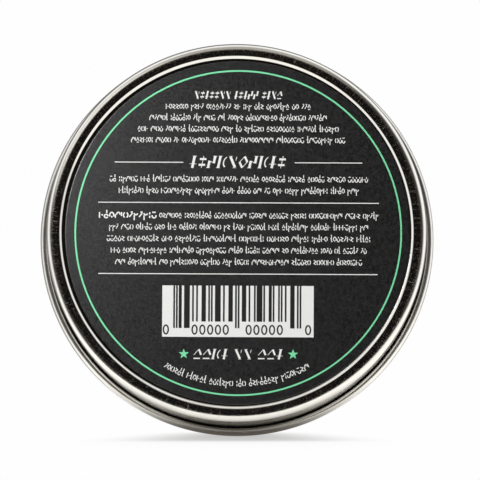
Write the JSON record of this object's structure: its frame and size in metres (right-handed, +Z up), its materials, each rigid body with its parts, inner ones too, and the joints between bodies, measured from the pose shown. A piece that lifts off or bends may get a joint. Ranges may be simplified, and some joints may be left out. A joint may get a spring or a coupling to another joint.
{
  "type": "shaving soap puck in a slip-lid tin",
  "caption": "Round puck of shaving soap in a flat tinplate tin with a slip-on rolled-edge lid and round paper labels on the base and the lid.",
  "frame": {"origin": "centre of the tin's foot, on the plane it stands on", "axes": "+Z up along the tin's axis, the way the lid lifts off; the top of the base label's print is towards +Y, and its lines run towards -X as they are read from below"},
  "size_m": [0.091, 0.091, 0.03],
  "materials": {
    "tin_body": "satin",
    "lid": "satin",
    "soap_puck": "satin",
    "base_label": "satin",
    "lid_label": "satin"
  },
  "bodies": {
    "tin": {"tin_body": "tin_body", "soap_puck": "soap_puck", "base_label": "base_label"},
    "lid": {"lid": "lid", "lid_label": "lid_label"}
  },
  "joints": [
    {"name": "lid_lift", "type": "slide", "parent": "tin", "child": "lid", "axis": [0, 0, 1], "range_m": [0, 0.045]}
  ]
}
